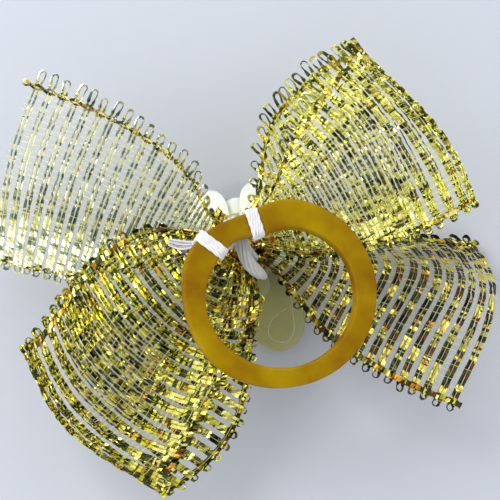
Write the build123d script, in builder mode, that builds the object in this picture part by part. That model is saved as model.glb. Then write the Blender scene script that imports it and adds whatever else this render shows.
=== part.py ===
"""A small hair bow of gold mesh ribbon, lying on its front with its latex band upwards.

Two double-ply loops and two cut tails leave a gathered centre, which white thread binds.
A frosted flower is glued to the front, and two thread lashings hold the band on the back.
Millimetres, +Z up; the pinch is the gathered centre, and every lobe points away from it.
"""
import os
from math import cos, radians, sin

from build123d import *

os.makedirs("parts", exist_ok=True)

# Where the gathered centre stands over the middle of the base
PINCH_X, PINCH_Y = 0.02, 2.42

# Ribbon
PLY = 0.4                  # thickness of one ply with its yarns
TAPE = 1.0                 # width of the metallic tape woven into each selvage
LOBE_ROOT = 3.2            # from the pinch to where a loop or tail comes free
SIDE_REACH = 12.0          # more than half of any lobe's width
PLAN_HEIGHT = 16.0         # more than the height of any lobe

# Gathered centre, from the flower upwards
FLOWER_BACK = 3.7
THREAD = 0.4               # thickness of one turn of binding thread
GATHER_RADIUS = 2.3
STUB_END = 2.8
STUB_HALF_WIDTH = 1.1
PLEAT_WIDTH = 0.25
PLEAT_DEPTH = 0.3
GLUE_THICK = 0.7
GATHER_THICK = 1.7         # of the gathered loops, and of the gathered tails
GATHER_LOW = FLOWER_BACK + GLUE_THICK + THREAD
GATHER_MID = GATHER_LOW + GATHER_THICK
GATHER_HIGH = GATHER_MID + GATHER_THICK
BINDING_ANGLE = 112.0      # direction of the binding turns over the pinch
BINDING_GAP = 0.03
BINDING_EASE = 0.05        # between the binding and the gathers' sides
BINDING_CORNER = 0.6

# Latex band, cut from half inch tube
BAND_BORE_R = 6.1
BAND_WALL = 1.9
BAND_HEIGHT = 2.2
BAND_MID_R = BAND_BORE_R + BAND_WALL / 2
BAND_Z = 11.2              # height of the band's middle
BAND_TIES = 128.0          # direction from the band's centre to the middle of its two ties
TIE_HALF_ANGLE = 17.5
BAND_TILT = 8.0            # the band leans down towards the upper right loop
TIE_OFFSET = 1.2           # how far the ties' chord lies from the pinch
TIE_DEPTH = 0.35           # how far the lashing bites into the latex
TIE_PROUD = 0.1
TIE_ROUND = 0.6            # the lashing's corner radius, as a share of its bite
TIE_TURN = 0.36            # width of one turn of a lashing

# Flower ornament
PETALS = 5
FLOWER_R = 5.4
FLOWER_TURN = -7.0
INNER_FLOWER_R = 3.2
INNER_FLOWER_RIM = 1.3
INNER_FLOWER_TURN = 25.0
PETAL_SHELL = 0.7
PETAL_REACH = 0.4          # a petal's rounded tip, as a share of the flower's radius
SHOULDER_OUT = 0.62        # where the dome's shoulder is, as a share of the radius
SHOULDER_IN = 0.6
SHOULDER_UP = 0.7          # and of its rise
BEAD_R = 1.15
BEAD_SUNK = 0.25           # how far the bead stands above its half, into its seat
LAYER_GAP = 0.1            # between the flower's layers
GLUE_LONG = 2.7
GLUE_SHORT = 2.3
GLUE_TAPER = 12.0

# Each lobe: direction from the pinch, its two selvages in plan as (along, across) points,
# and its side outline as (along, height) points. A loop comes back under itself from its
# fold; a tail's cut end bows out, and its ply leans down sideways.
LOOPS = {
    "upper_right": dict(
        angle=32.0,
        left=[(LOBE_ROOT, 1.9), (8.0, 6.4), (13.0, 8.0), (20.5, 8.0)],
        right=[(LOBE_ROOT, -1.7), (9.0, -5.2), (13.0, -7.4), (20.5, -7.6)],
        over=[(LOBE_ROOT, 8.0), (10.0, 8.5), (16.8, 8.3)],
        fold=(19.0, 6.4),
        under=[(16.8, 4.4), (10.0, 4.3), (LOBE_ROOT, 6.6)],
    ),
    "lower_left": dict(
        angle=231.0,
        left=[(LOBE_ROOT, 1.9), (8.0, 6.2), (13.0, 8.6), (22.5, 8.4)],
        right=[(LOBE_ROOT, -1.7), (8.0, -5.8), (12.5, -8.0), (22.5, -8.0)],
        over=[(LOBE_ROOT, 8.0), (11.0, 9.5), (18.3, 9.0)],
        fold=(20.9, 7.0),
        under=[(18.3, 4.9), (11.0, 4.8), (LOBE_ROOT, 6.6)],
    ),
}
TAILS = {
    "upper_left": dict(
        angle=162.0,
        left=[(LOBE_ROOT, 1.5), (8.0, 4.2), (13.0, 6.8), (19.4, 7.3)],
        right=[(LOBE_ROOT, -1.5), (9.0, -4.4), (15.0, -6.0), (21.3, -7.2)],
        end=(21.4, -1.0),
        over=[(LOBE_ROOT, 5.9), (12.0, 5.3), (22.5, 4.0)],
        lean=-0.2,
    ),
    "lower_right": dict(
        angle=-19.0,
        left=[(LOBE_ROOT, 0.9), (8.0, 2.4), (13.0, 4.0), (18.5, 5.6)],
        right=[(LOBE_ROOT, -1.8), (6.0, -4.0), (12.0, -5.8), (21.2, -6.9)],
        end=(22.1, -1.5),
        over=[(LOBE_ROOT, 5.9), (12.0, 5.3), (22.5, 4.2)],
        lean=-0.25,
    ),
}


def heading(angle):
    """A horizontal direction, in degrees from +X."""
    return cos(radians(angle)), sin(radians(angle)), 0


def plan_plane(angle):
    """A horizontal plane at the base, its X along the lobe."""
    return Plane(origin=(PINCH_X, PINCH_Y, 0), x_dir=heading(angle), z_dir=(0, 0, 1))


def side_plane(angle):
    """An upright plane through the pinch, its X along the lobe and its Y up."""
    return Plane(origin=(PINCH_X, PINCH_Y, 0), x_dir=heading(angle), z_dir=heading(angle - 90))


def moved_in(points, step):
    """A selvage line moved sideways."""
    return [(along, across + step) for along, across in points]


def write(shape, label):
    """Name a finished piece and write its file."""
    shape.label = label
    export_step(shape, f"parts/{label}.step")
    solids = shape.solids()
    print(label, len(solids), "solids", round(sum(s.volume for s in solids), 2), "mm3")


# ---------------------------------------------------------------- ribbon lobes
def loop_strip(lobe, edges):
    """The part of a loop between two plan lines: two plies that a fold joins."""
    over, under = lobe["over"], lobe["under"]
    with BuildPart() as strip:
        with BuildSketch(side_plane(lobe["angle"])):
            with BuildLine():
                ThreePointArc(*over)
                ThreePointArc(over[-1], lobe["fold"], under[0])
                ThreePointArc(*under)
                Line(under[-1], over[0])
            make_face()
            offset(amount=-PLY, mode=Mode.SUBTRACT)
        extrude(amount=SIDE_REACH, both=True)
        with BuildSketch(plan_plane(lobe["angle"])):
            for first, second in edges:
                with BuildLine():
                    Spline(first)
                    Line(first[-1], second[-1])
                    Spline(second)
                    Line(first[0], second[0])
                make_face()
        extrude(amount=PLAN_HEIGHT, mode=Mode.INTERSECT)
    return strip.part


def tail_strip(lobe, edges):
    """The part of a cut tail between two plan lines: one ply that slopes to its end."""
    top = lobe["over"]
    bottom = [(along, height - PLY) for along, height in top]
    plane = side_plane(lobe["angle"])
    across = Vector(*heading(lobe["angle"] + 90)) + Vector(0, 0, lobe["lean"])
    with BuildPart() as strip:
        with BuildSketch(plane):
            with BuildLine():
                ThreePointArc(*top)
                Line(top[-1], bottom[-1])
                ThreePointArc(*bottom)
                Line(top[0], bottom[0])
            make_face()
        extrude(amount=SIDE_REACH, dir=across, both=True)
        with BuildSketch(plan_plane(lobe["angle"])):
            for first, second in edges:
                with BuildLine():
                    Spline(first)
                    ThreePointArc(first[-1], end_between(lobe, first, second), second[-1])
                    Spline(second)
                    Line(first[0], second[0])
                make_face()
        extrude(amount=PLAN_HEIGHT, mode=Mode.INTERSECT)
    return strip.part


def end_between(lobe, first, second):
    """The middle of a tail's cut end, bowed out where the strip spans the whole tail."""
    middle = ((first[-1][0] + second[-1][0]) / 2, (first[-1][1] + second[-1][1]) / 2)
    whole = abs(first[-1][1] - second[-1][1]) > 2 * TAPE
    return lobe["end"] if whole else (middle[0] + 0.05, middle[1])


def ribbon_and_selvages(lobe, strip):
    """The mesh field between the selvages, and the two selvage tapes."""
    left, right = lobe["left"], lobe["right"]
    inner_left, inner_right = moved_in(left, -TAPE), moved_in(right, TAPE)
    field = strip(lobe, [(inner_left, inner_right)])
    tapes = strip(lobe, [(left, inner_left), (inner_right, right)])
    return field, tapes


for place, loop in LOOPS.items():
    field, tapes = ribbon_and_selvages(loop, loop_strip)
    write(field, f"loop_{place}_ribbon")
    write(tapes, f"loop_{place}_selvages")

for place, tail in TAILS.items():
    field, tapes = ribbon_and_selvages(tail, tail_strip)
    write(field, f"tail_{place}_ribbon")
    write(tapes, f"tail_{place}_selvages")


# ------------------------------------------------------------- gathered centre
def gather(lobes, low, high, ridge_side):
    """The pinched ribbon of two opposite lobes, with pleats on one side."""
    with BuildPart() as bundle:
        with BuildSketch(plan_plane(0).offset(low)):
            Circle(GATHER_RADIUS)
        extrude(amount=high - low)
        for lobe in lobes:
            with BuildSketch(plan_plane(lobe["angle"]).offset(low)):
                with Locations((STUB_END / 2, 0)):
                    Rectangle(STUB_END, 2 * STUB_HALF_WIDTH)
            extrude(amount=high - low)
            with BuildSketch(side_plane(lobe["angle"] + 90).offset(-STUB_END)):
                with Locations((0, ridge_side)):
                    with GridLocations(3 * PLEAT_WIDTH, 1, 3, 1):
                        Rectangle(PLEAT_WIDTH, 2 * PLEAT_DEPTH)
            extrude(amount=STUB_END, mode=Mode.SUBTRACT)
    return bundle.part


write(gather(LOOPS.values(), GATHER_MID, GATHER_HIGH, GATHER_HIGH), "loop_gather")
write(gather(TAILS.values(), GATHER_LOW, GATHER_MID, GATHER_LOW), "tail_gather")

# ---------------------------------------------------------------------- thread
BINDING_HALF = GATHER_RADIUS + BINDING_EASE
BINDING_MIDDLE = (GATHER_LOW + GATHER_HIGH) / 2
BINDING_TALL = GATHER_HIGH - GATHER_LOW

with BuildPart() as binding:
    for turn in (-1, 0, 1):
        beside = turn * (THREAD + BINDING_GAP) - THREAD / 2
        with BuildSketch(side_plane(BINDING_ANGLE).offset(beside)):
            with Locations((0, BINDING_MIDDLE)):
                RectangleRounded(2 * (BINDING_HALF + THREAD), BINDING_TALL + 2 * THREAD, BINDING_CORNER)
                Rectangle(2 * BINDING_HALF, BINDING_TALL, mode=Mode.SUBTRACT)
        extrude(amount=THREAD)
write(binding.part, "centre_binding")

# The strand that carries both lashings lies over the binding, along the ties' chord
CHORD_ANGLE = BAND_TIES - 90
STRAND_LOW = GATHER_HIGH + THREAD
STRAND_R = 0.35
STRAND_HALF = 2.3
STRAND_ROUND = 0.2
with BuildPart() as strand:
    with BuildSketch(Plane(origin=(PINCH_X, PINCH_Y, 0), x_dir=heading(CHORD_ANGLE + 90),
                           z_dir=heading(CHORD_ANGLE)).offset(-STRAND_HALF)):
        with Locations((0, STRAND_LOW + STRAND_R)):
            Circle(STRAND_R)
    extrude(amount=2 * STRAND_HALF)
    fillet(strand.edges().filter_by(GeomType.CIRCLE), radius=STRAND_ROUND)
write(strand.part, "lashing_strand")

# A knot of two crossed turns, beside the strand on top of the binding
KNOT_TURN_R = 0.55
KNOT_THREAD_R = 0.3
KNOT_CORE_R = 0.5
KNOT_X = PINCH_X + 0.95
KNOT_Y = PINCH_Y - 0.75
with BuildPart() as knot:
    with Locations(Location((KNOT_X, KNOT_Y, STRAND_LOW + KNOT_TURN_R))):
        Torus(KNOT_TURN_R, KNOT_THREAD_R)
        Sphere(KNOT_CORE_R)
write(knot.part, "binding_knot")


# Cut ends: (right of the pinch, behind it, height) where each starts, bends and stops
SOFT_END = ((1.75, -1.6, 9.0), (2.2, -2.6, 8.7), (2.4, -3.6, 8.0))
SOFT_END_R = 0.55
SPLAYED_END = ((-2.2, -1.5, 9.1), (-4.1, -0.9, 8.8), (-5.9, -0.6, 7.7))
SPLAYED_END_R = 0.4


def thread_end(points, radius):
    """A short cut end of soft thread on one arc."""
    with BuildPart() as end:
        with BuildLine() as path:
            ThreePointArc(*[(PINCH_X + x, PINCH_Y + y, z) for x, y, z in points])
        with BuildSketch(Plane(origin=path.line @ 0, z_dir=path.line % 0)):
            Circle(radius)
        sweep()
    return end.part


write(thread_end(SOFT_END, SOFT_END_R), "thread_end_right")
write(thread_end(SPLAYED_END, SPLAYED_END_R), "thread_end_left")

# ------------------------------------------------------------------ latex band
CHORD_IN = BAND_MID_R * cos(radians(TIE_HALF_ANGLE))
tie_x, tie_y, _ = heading(BAND_TIES)
BAND_X = PINCH_X + tie_x * (TIE_OFFSET - CHORD_IN)
BAND_Y = PINCH_Y + tie_y * (TIE_OFFSET - CHORD_IN)
lean_x, lean_y, _ = heading(CHORD_ANGLE)
BAND_AXIS = (
    lean_x * sin(radians(BAND_TILT)),
    lean_y * sin(radians(BAND_TILT)),
    cos(radians(BAND_TILT)),
)
band_plane = Plane(origin=(BAND_X, BAND_Y, BAND_Z), x_dir=heading(BAND_TIES), z_dir=BAND_AXIS)


def section_plane(angle):
    """The upright section of the band at one tie, its X outwards and its Y along the bore."""
    turned = band_plane.rotated((0, 0, angle))
    middle = turned.origin + turned.x_dir * BAND_MID_R
    return Plane(origin=middle, x_dir=turned.x_dir, z_dir=turned.y_dir * -1)


def outer_corner(plane):
    """Picks a lashing's long edges that stand proud of the band's top and bottom faces."""
    return lambda edge: abs(plane.to_local_coords(edge.center()).Y) > BAND_HEIGHT / 2


tie_planes = {
    "right": section_plane(-TIE_HALF_ANGLE),
    "left": section_plane(TIE_HALF_ANGLE),
}
TIE_WIDTH = 3 * TIE_TURN
CORE_WALL = BAND_WALL - 2 * TIE_DEPTH
CORE_HEIGHT = BAND_HEIGHT - 2 * TIE_DEPTH

with BuildPart() as band:
    with BuildSketch(band_plane.offset(-BAND_HEIGHT / 2)):
        Circle(BAND_BORE_R + BAND_WALL)
        Circle(BAND_BORE_R, mode=Mode.SUBTRACT)
    extrude(amount=BAND_HEIGHT)
    for tie_plane in tie_planes.values():
        with BuildSketch(tie_plane):
            Rectangle(2 * BAND_WALL, 2 * BAND_HEIGHT)
            Rectangle(CORE_WALL, CORE_HEIGHT, mode=Mode.SUBTRACT)
        extrude(amount=TIE_WIDTH / 2, both=True, mode=Mode.SUBTRACT)
write(band.part, "latex_band")

for side, tie_plane in tie_planes.items():
    with BuildPart() as lashing:
        for turn in (-1, 0, 1):
            with BuildSketch(tie_plane.offset(turn * TIE_TURN)):
                with Locations((TIE_PROUD / 2, 0)):
                    Rectangle(BAND_WALL + TIE_PROUD, BAND_HEIGHT + 2 * TIE_PROUD)
                Rectangle(CORE_WALL, CORE_HEIGHT, mode=Mode.SUBTRACT)
            extrude(amount=(TIE_TURN - BINDING_GAP) / 2, both=True)
        along = lashing.edges().filter_by(Axis(tie_plane.origin, tie_plane.z_dir))
        fillet(along.filter_by(outer_corner(tie_plane)), radius=TIE_DEPTH * TIE_ROUND)
    write(lashing.part, f"band_lashing_{side}")

# ------------------------------------------------------------ flower ornament
flower_plane = Plane(origin=(PINCH_X, PINCH_Y, 0), x_dir=(1, 0, 0), z_dir=(0, -1, 0))
flower_axis = Axis((PINCH_X, PINCH_Y, 0), (0, 0, 1))


def petal_ring(radius, rim, crown, count, turn):
    """Cupped petals in one shell: a dome of revolution cut to a scalloped outline."""
    reach = radius * PETAL_REACH
    with BuildPart() as petals:
        with BuildSketch(flower_plane):
            with BuildLine():
                ThreePointArc(
                    (0, crown),
                    (radius * SHOULDER_OUT, rim + (crown - rim) * SHOULDER_UP),
                    (radius, rim),
                )
                Line((radius, rim), (radius - PETAL_SHELL, rim))
                ThreePointArc(
                    (radius - PETAL_SHELL, rim),
                    (
                        (radius - PETAL_SHELL) * SHOULDER_IN,
                        rim + (crown - PETAL_SHELL - rim) * SHOULDER_UP,
                    ),
                    (0, crown - PETAL_SHELL),
                )
                Line((0, crown - PETAL_SHELL), (0, crown))
            make_face()
        revolve(axis=flower_axis)
        with BuildSketch(plan_plane(turn)):
            Circle(radius - reach)
            with PolarLocations(radius - reach, count):
                Circle(reach)
        extrude(amount=crown, mode=Mode.INTERSECT)
    return petals.part


INNER_CROWN = FLOWER_BACK - PETAL_SHELL - LAYER_GAP
write(petal_ring(FLOWER_R, 0, FLOWER_BACK, PETALS, FLOWER_TURN), "flower_outer_petals")
write(
    petal_ring(INNER_FLOWER_R, INNER_FLOWER_RIM, INNER_CROWN, PETALS, INNER_FLOWER_TURN),
    "flower_inner_petals",
)

BEAD_TOP = INNER_CROWN - PETAL_SHELL - LAYER_GAP
with BuildPart() as bead:
    with Locations((PINCH_X, PINCH_Y, BEAD_TOP - BEAD_R + BEAD_SUNK)):
        Sphere(BEAD_R)
    split(bisect_by=Plane.XY.offset(BEAD_TOP), keep=Keep.BOTTOM)
write(bead.part, "flower_bead")

with BuildPart() as glue:
    with BuildSketch(plan_plane(0).offset(FLOWER_BACK)):
        Ellipse(GLUE_LONG, GLUE_SHORT)
    extrude(amount=GLUE_THICK, taper=GLUE_TAPER)
write(glue.part, "hot_melt_pad")
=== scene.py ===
"""A small hair bow of gold mesh ribbon, lying on its flower with the latex band upwards.

Each lobe is a woven sheet: pairs of flat metallic wefts, fine clear warps between them,
and two crossing tapes along each selvage. White thread gathers the lobes and ties the band.
Sizes in the classes are millimetres in the frame of the part, +Z up.
"""
import logging
import math
from collections.abc import Sequence
from dataclasses import dataclass, field
from enum import Enum

import bmesh
import bpy
import numpy as np
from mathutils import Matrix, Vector


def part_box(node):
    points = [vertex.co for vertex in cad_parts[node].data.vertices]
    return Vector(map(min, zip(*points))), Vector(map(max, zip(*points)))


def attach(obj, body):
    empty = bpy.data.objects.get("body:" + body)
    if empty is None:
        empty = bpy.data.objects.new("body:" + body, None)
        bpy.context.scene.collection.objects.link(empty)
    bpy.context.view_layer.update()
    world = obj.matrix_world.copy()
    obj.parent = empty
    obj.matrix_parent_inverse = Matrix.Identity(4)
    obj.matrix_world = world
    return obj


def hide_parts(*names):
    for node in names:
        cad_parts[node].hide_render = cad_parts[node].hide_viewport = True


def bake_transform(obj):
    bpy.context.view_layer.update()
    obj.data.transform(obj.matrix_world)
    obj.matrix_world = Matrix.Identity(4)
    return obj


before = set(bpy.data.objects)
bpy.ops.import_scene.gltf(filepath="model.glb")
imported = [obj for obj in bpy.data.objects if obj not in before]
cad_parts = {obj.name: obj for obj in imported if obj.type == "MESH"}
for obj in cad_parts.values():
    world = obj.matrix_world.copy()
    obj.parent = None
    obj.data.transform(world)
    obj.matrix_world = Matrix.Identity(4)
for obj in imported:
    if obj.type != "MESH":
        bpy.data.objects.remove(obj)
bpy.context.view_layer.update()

MM = 0.001
PINCH = np.array([0.02, 2.42, 0.0])    # the gathered centre, in plan
UP = np.array([0.0, 0.0, 1.0])
LOG = logging.getLogger("hair_bow")

Point = tuple[float, float, float]
Colour = tuple[float, float, float]


class Body(str, Enum):
    """The moving bodies that pieces ride on."""

    CENTRE = "centre"
    BAND = "band"
    UPPER_RIGHT = "loop_upper_right"
    LOWER_LEFT = "loop_lower_left"
    UPPER_LEFT = "tail_upper_left"
    LOWER_RIGHT = "tail_lower_right"


class Slot(str, Enum):
    """The record's finishes."""

    MESH = "gold_mesh"
    TAPE = "gold_tape"
    THREAD = "white_thread"
    LATEX = "amber_latex"
    PLASTIC = "frosted_plastic"
    GLUE = "hot_melt_glue"


# ------------------------------------------------------------------ geometry helpers
def unit(vectors: np.ndarray) -> np.ndarray:
    """Vectors scaled to length one along their last axis."""
    return vectors / np.maximum(np.linalg.norm(vectors, axis=-1, keepdims=True), 1e-9)


def level_heading(degrees: float) -> np.ndarray:
    """A level direction, in degrees from +X."""
    return np.array([math.cos(math.radians(degrees)), math.sin(math.radians(degrees)), 0.0])


def natural_spline(at: np.ndarray, values: np.ndarray, wanted: np.ndarray) -> np.ndarray:
    """Reads a smooth curve through given values.

    Args:
        at: rising parameters of the known values.
        values: one row for each parameter.
        wanted: parameters to read at.

    Returns:
        One row for each wanted parameter.
    """
    count, step = len(at), np.diff(at)
    flat = values.reshape(count, -1)
    system, right = np.eye(count), np.zeros_like(flat)
    for i in range(1, count - 1):
        system[i, i - 1:i + 2] = step[i - 1], 2 * (step[i - 1] + step[i]), step[i]
        right[i] = 6 * ((flat[i + 1] - flat[i]) / step[i] - (flat[i] - flat[i - 1]) / step[i - 1])
    bend = np.linalg.solve(system, right)
    span = np.clip(np.searchsorted(at, wanted) - 1, 0, count - 2)
    gap = step[span][:, None]
    after = (wanted - at[span])[:, None]
    before = gap - after
    read = (
        bend[span] * before**3 + bend[span + 1] * after**3
    ) / (6 * gap) + (flat[span] / gap - bend[span] * gap / 6) * before \
        + (flat[span + 1] / gap - bend[span + 1] * gap / 6) * after
    return read.reshape((len(wanted),) + values.shape[1:])


def paid_out(net: np.ndarray) -> np.ndarray:
    """The mean length of material up to each row of a net of points."""
    steps = np.linalg.norm(np.diff(net, axis=0), axis=-1).mean(axis=1)
    return np.concatenate([[0.0], np.cumsum(steps)])


def smooth_route(points: Sequence[Point] | np.ndarray, spacing: float) -> np.ndarray:
    """Draws a smooth line through chosen points.

    Args:
        points: the chosen points.
        spacing: the gap between the points that are read.

    Returns:
        Evenly spaced points of the line, at least eight.
    """
    chosen = np.array(points, float)
    at = np.concatenate([[0.0], np.cumsum(np.linalg.norm(np.diff(chosen, axis=0), axis=1))])
    count = max(8, int(at[-1] / spacing))
    return natural_spline(at, chosen, np.linspace(0, at[-1], count))


def carried_sides(line: np.ndarray) -> tuple[np.ndarray, np.ndarray]:
    """Carries two directions square to a line along it, without twisting.

    Args:
        line: the line's points.

    Returns:
        Both directions, at each of its points.
    """
    tangents = unit(np.gradient(line, axis=0))
    first = np.cross(tangents[0], (0.31, 0.23, 0.92))
    sides = [first / np.linalg.norm(first)]
    for tangent in tangents[1:]:
        side = sides[-1] - tangent * (sides[-1] @ tangent)
        sides.append(side / np.linalg.norm(side))
    side = np.array(sides)
    return side, np.cross(tangents, side)


def squared_round(angles: np.ndarray, power: float) -> np.ndarray:
    """Draws a round shape, squared where the power is under one.

    Args:
        angles: where on the shape to read it, in radians.
        power: one for a circle, and near zero for a square.

    Returns:
        An (across, up) pair for each angle, from -1 to 1.
    """
    circle = np.stack([np.cos(angles), np.sin(angles)], axis=1)
    return np.sign(circle) * np.abs(circle) ** power


def node_middle(name: str) -> np.ndarray:
    """The middle of a CAD node's box, in millimetres."""
    low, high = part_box(name)
    return np.array((low + high) / 2) / MM


class PieceMesh:
    """Gathers lofted shapes and makes one piece of them."""

    def __init__(self, seed: int) -> None:
        """Starts an empty piece.

        Args:
            seed: starts the piece's own random draws.
        """
        self.points: list[np.ndarray] = []
        self.faces: list[tuple[int, ...]] = []
        self.runs: list[np.ndarray] = []
        self.rows: list[np.ndarray] = []
        self.dips: list[np.ndarray] = []
        self.total = 0
        self.random = np.random.default_rng(seed)

    def loft(self, rings: np.ndarray, run: np.ndarray | None = None, row: float = 0.0,
             dip: np.ndarray | None = None, closed: bool = False) -> None:
        """Joins rings of points into a skin, with ends where it isn't closed.

        Args:
            rings: sections by points by three.
            run: how far along its yarn each section is, for the finish.
            row: which yarn this is, for the finish.
            dip: 1 where a facet gets a painted glint, for the finish.
            closed: True where the last section meets the first.
        """
        sections, around = rings.shape[:2]
        along = np.arange(sections if closed else sections - 1)
        base = self.total
        here, there = along * around, (along + 1) % sections * around
        for j in range(around):
            k = (j + 1) % around
            quads = np.stack([here + j, there + j, there + k, here + k], axis=1) + base
            self.faces.extend(map(tuple, quads.tolist()))
        if not closed:
            self.faces.append(tuple(base + j for j in range(around)))
            self.faces.append(tuple(base + (sections - 1) * around + j for j in range(around)))
        self.points.append(rings.reshape(-1, 3))
        runs = np.arange(sections, dtype=float) if run is None else run
        self.runs.append(np.repeat(runs, around))
        self.rows.append(np.full(sections * around, row))
        self.dips.append(np.repeat(np.zeros(sections) if dip is None else dip, around))
        self.total += sections * around

    def strip(self, centre: np.ndarray, side: np.ndarray, normal: np.ndarray, width: float,
              thick: float, **finish: object) -> None:
        """Lofts a flat yarn, whose section is a thin rectangle.

        Args:
            centre: the yarn's middle line.
            side: its flat direction at each point.
            normal: its thin direction at each point.
            width: its flat size.
            thick: its thin size.
            finish: what loft takes for the finish.
        """
        across, up = side * width / 2, normal * thick / 2
        corners = [centre + across + up, centre + across - up,
                   centre - across - up, centre - across + up]
        self.loft(np.stack(corners, axis=1), **finish)

    def tube(self, line: np.ndarray, radius: np.ndarray | float, sides: int = 8,
             **finish: object) -> None:
        """Lofts a round yarn or thread along a line.

        Args:
            line: its middle line.
            radius: its radius, along its line or all the same.
            sides: number of points round it.
            finish: what loft takes for the finish.
        """
        first, second = carried_sides(line)
        angles = np.arange(sides) * 2 * math.pi / sides
        spread = np.broadcast_to(np.asarray(radius, float), (len(line),))[:, None, None]
        ring = first[:, None] * np.cos(angles)[None, :, None] \
            + second[:, None] * np.sin(angles)[None, :, None]
        self.loft(line[:, None] + ring * spread, **finish)

    def made(self, name: str, smooth: bool) -> bpy.types.Object:
        """Turns the gathered shapes into an object with outward faces.

        Args:
            name: the piece's name.
            smooth: False for yarns whose flat facets glint.

        Returns:
            The new object, linked to the scene, in metres.
        """
        mesh = bpy.data.meshes.new(name)
        mesh.from_pydata((np.concatenate(self.points) * MM).tolist(), [], self.faces)
        # One of these attributes marks the facets that get a painted glint.
        for label, values in (("run", self.runs), ("row", self.rows), ("dip", self.dips)):
            attribute = mesh.attributes.new(label, "FLOAT", "POINT")
            attribute.data.foreach_set("value", np.concatenate(values).astype(np.float32))
        turned = bmesh.new()
        turned.from_mesh(mesh)
        bmesh.ops.recalc_face_normals(turned, faces=turned.faces)
        turned.to_mesh(mesh)
        turned.free()
        if smooth:
            mesh.shade_smooth()
        else:
            mesh.shade_flat()
        piece = bpy.data.objects.new(name, mesh)
        bpy.context.scene.collection.objects.link(piece)
        return piece


def finished(mesh: PieceMesh, name: str, material: bpy.types.Material, slot: Slot, body: Body,
             *nodes: str, smooth: bool = True) -> None:
    """Makes a piece that rides on one body, with its finish.

    Args:
        mesh: the piece's shapes.
        name: its name.
        material: its look.
        slot: the finish that it has in the record; it is not used.
        body: what it rides on.
        nodes: the CAD nodes that it stands for.
        smooth: False for facets that glint.
    """
    piece = mesh.made(name, smooth)
    piece.data.materials.append(material)
    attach(piece, body.value)
    if nodes:
        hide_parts(*nodes)
    LOG.info("%s: %d faces", name, len(piece.data.polygons))


# --------------------------------------------------------------------------- finishes
class Shader:
    """Adds nodes to one node tree, each joined to its inputs as it is made."""

    def __init__(self, tree: bpy.types.NodeTree) -> None:
        """Keeps the tree that the nodes go into."""
        self.tree = tree

    def add(self, kind: str, inputs: dict | None = None, **settings: object) -> bpy.types.Node:
        """Makes a node.

        Args:
            kind: the node's type name without its ShaderNode prefix.
            inputs: for each input socket, a socket to join or a constant.
            settings: the node's own properties.

        Returns:
            The new node.
        """
        node = self.tree.nodes.new("ShaderNode" + kind)
        for key, value in settings.items():
            setattr(node, key, value)
        for key, value in (inputs or {}).items():
            if isinstance(value, bpy.types.NodeSocket):
                self.tree.links.new(value, node.inputs[key])
            else:
                node.inputs[key].default_value = value
        return node

    def math(self, operation: str, first: object, second: object = 0.0) -> bpy.types.NodeSocket:
        """The result of one sum on two values."""
        return self.add("Math", {0: first, 1: second}, operation=operation).outputs[0]

    def mix(self, factor: object, first: object, second: object) -> bpy.types.NodeSocket:
        """A colour between two colours."""
        node = self.add("Mix", {0: factor, 6: first, 7: second}, data_type="RGBA")
        return node.outputs[2]

    def ramp(self, factor: object, stops: Sequence[tuple[float, float]]) -> bpy.types.NodeSocket:
        """Reads a grey value off a few stops.

        Args:
            factor: where to read.
            stops: a (place, value) pair for each stop.

        Returns:
            The value's socket.
        """
        node = self.add("ValToRGB", {0: factor})
        elements = node.color_ramp.elements
        while len(elements) < len(stops):
            elements.new(0.5)
        for element, (place, value) in zip(elements, stops):
            element.position = place
            element.color = (value, value, value, 1)
        return node.outputs[0]


def opaque(colour: Colour) -> tuple[float, float, float, float]:
    """A colour with a full alpha."""
    return (*colour, 1.0)


def new_group(name: str, inputs: Sequence[tuple[str, str, object]],
              outputs: Sequence[tuple[str, str]]) -> tuple[bpy.types.NodeTree, Shader]:
    """Starts a shader node group with named sockets.

    Args:
        name: the group's name.
        inputs: a name, a socket type and a first value for each input.
        outputs: a name and a socket type for each output.

    Returns:
        The group's tree, and the maker of its nodes.
    """
    tree = bpy.data.node_groups.new(name, "ShaderNodeTree")
    for label, kind, value in inputs:
        socket = tree.interface.new_socket(name=label, in_out="INPUT", socket_type=kind)
        socket.default_value = value
    for label, kind in outputs:
        tree.interface.new_socket(name=label, in_out="OUTPUT", socket_type=kind)
    return tree, Shader(tree)


DRIFT_SCALE = 900.0           # of the slow change between parts with more and fewer painted dark reflections, per metre
DRIFT_SWING = 1.6             # how far it moves the share of facets with a painted dark reflection
WARMTH = 0.8                  # how far a warm facet goes to the warm colour
PAINTED_GLINT_MIX = 0.6               # how far a facet with a painted glint goes to the painted highlight colour
WARM_REFLECTION_MIX = 0.5                 # how far a warm facet's painted dark reflection goes to the warm dark colour
DARK_REFLECTION_MIX = 0.92            # how far a facet with a painted dark reflection goes to its dark colour


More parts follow.
